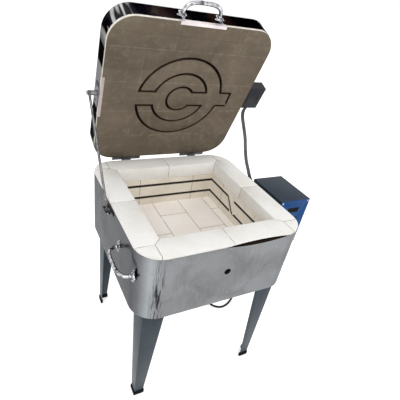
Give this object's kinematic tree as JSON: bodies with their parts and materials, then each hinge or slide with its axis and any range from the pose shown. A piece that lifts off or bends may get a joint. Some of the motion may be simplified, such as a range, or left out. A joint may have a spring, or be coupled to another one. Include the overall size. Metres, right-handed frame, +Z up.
{
  "type": "jewellery kiln",
  "caption": "Square top-loading brick kiln on a legged stand: hinged brick lid held open by a stay rod, side control box, peephole and a mains cord.",
  "frame": {"origin": "middle of the whole object's footprint, on the floor, with the lid open and the mains cord left out", "axes": "+X to the right with the control box on that side, +Y to the rear where the hinges are, +Z up"},
  "size_m": [0.781, 0.6474, 1.2703],
  "materials": {
    "polished_steel": "polished stainless sheet with fine scratches",
    "galvanised_steel": "satin",
    "bright_hardware": "bright plated",
    "cast_chrome": "polished chrome",
    "fired_brick": "matte, porous",
    "lid_brick": "matte, fired brown",
    "insulation": "matte",
    "element_wire": "oxidised",
    "white_ceramic": "smooth",
    "brass": "satin",
    "stand_paint": "satin blue-grey paint",
    "rubber": "matte",
    "black_steel": "satin black",
    "box_paint": "satin slate paint",
    "panel_blue": "satin blue film",
    "black_plastic": "matte",
    "rocker_red": "gloss",
    "dark_window": "tinted, gloss",
    "circuit_board": "satin",
    "relay_case": "matte",
    "grey_cable": "satin"
  },
  "bodies": {
    "kiln": {"casing_wrap": "polished_steel", "casing_seam": "polished_steel", "base_pan": "galvanised_steel", "insulation_board": "insulation", "hearth_bricks": "fired_brick", "wall_bricks": "fired_brick", "rim_bricks": "fired_brick", "wall_element": "element_wire", "element_bushes": "white_ceramic", "element_terminals": "brass", "thermocouple": "white_ceramic", "thermocouple_block": "white_ceramic", "stand_frame": "stand_paint", "leg_front_left": "stand_paint", "leg_front_right": "stand_paint", "leg_rear_left": "stand_paint", "leg_rear_right": "stand_paint", "rubber_feet": "rubber", "stand_bolts": "bright_hardware", "side_handle_bow": "cast_chrome", "side_handle_feet": "cast_chrome", "stay_guide": "black_steel", "body_hinge_leaves": "galvanised_steel", "hinge_pins": "bright_hardware", "hinge_screws": "bright_hardware", "box_standoffs": "galvanised_steel", "control_chassis": "box_paint", "control_cover": "box_paint", "control_panel": "panel_blue", "display_window": "dark_window", "key_plate": "circuit_board", "rocker_frame": "black_plastic", "relay_block": "relay_case", "controller_board": "circuit_board", "terminal_strip": "white_ceramic", "mains_gland": "black_plastic", "flex_gland": "black_plastic", "panel_screws": "bright_hardware", "mains_cord": "rubber", "cord_coil": "rubber", "mains_plug": "rubber", "lid_flex": "grey_cable"},
    "lid": {"lid_casing": "polished_steel", "lid_bricks": "lid_brick", "lid_element": "element_wire", "lid_bushes": "white_ceramic", "lid_strips": "polished_steel", "lid_hinge_leaves": "galvanised_steel", "lid_handle_bow": "cast_chrome", "lid_handle_feet": "cast_chrome", "stay_bracket": "galvanised_steel", "junction_box": "box_paint", "junction_cover": "box_paint", "junction_gland": "black_plastic"},
    "stay": {"stay_rod": "bright_hardware"},
    "first_key": {"key_1": "black_plastic"},
    "second_key": {"key_2": "black_plastic"},
    "third_key": {"key_3": "black_plastic"},
    "fourth_key": {"key_4": "black_plastic"},
    "rocker": {"power_rocker": "rocker_red"}
  },
  "joints": [
    {"name": "lid_hinge", "type": "hinge", "parent": "kiln", "child": "lid", "pos_m": [-0.05705, 0.25832, 0.695], "axis": [1, 0, 0], "range_deg": [0, 67.4], "deforming": ["lid_flex"]},
    {"name": "stay_pivot", "type": "hinge", "parent": "lid", "child": "stay", "pos_m": [-0.35705, 0.18327, 0.97937], "axis": [1, 0, 0], "range_deg": [-33.7, 0]},
    {"name": "key_1_press", "type": "slide", "parent": "kiln", "child": "first_key", "axis": [0, 1, 0], "range_m": [0, 0.001], "stiffness_N_per_m": 800},
    {"name": "key_2_press", "type": "slide", "parent": "kiln", "child": "second_key", "axis": [0, 1, 0], "range_m": [0, 0.001], "stiffness_N_per_m": 800},
    {"name": "key_3_press", "type": "slide", "parent": "kiln", "child": "third_key", "axis": [0, 1, 0], "range_m": [0, 0.001], "stiffness_N_per_m": 800},
    {"name": "key_4_press", "type": "slide", "parent": "kiln", "child": "fourth_key", "axis": [0, 1, 0], "range_m": [0, 0.001], "stiffness_N_per_m": 800},
    {"name": "power_switch", "type": "hinge", "parent": "kiln", "child": "rocker", "pos_m": [0.31995, -0.15468, 0.554], "axis": [1, 0, 0], "range_deg": [0, 16]}
  ],
  "couplings": [
    {"joint": "stay_pivot", "follows": "lid_hinge", "ratio": -0.5}
  ]
}
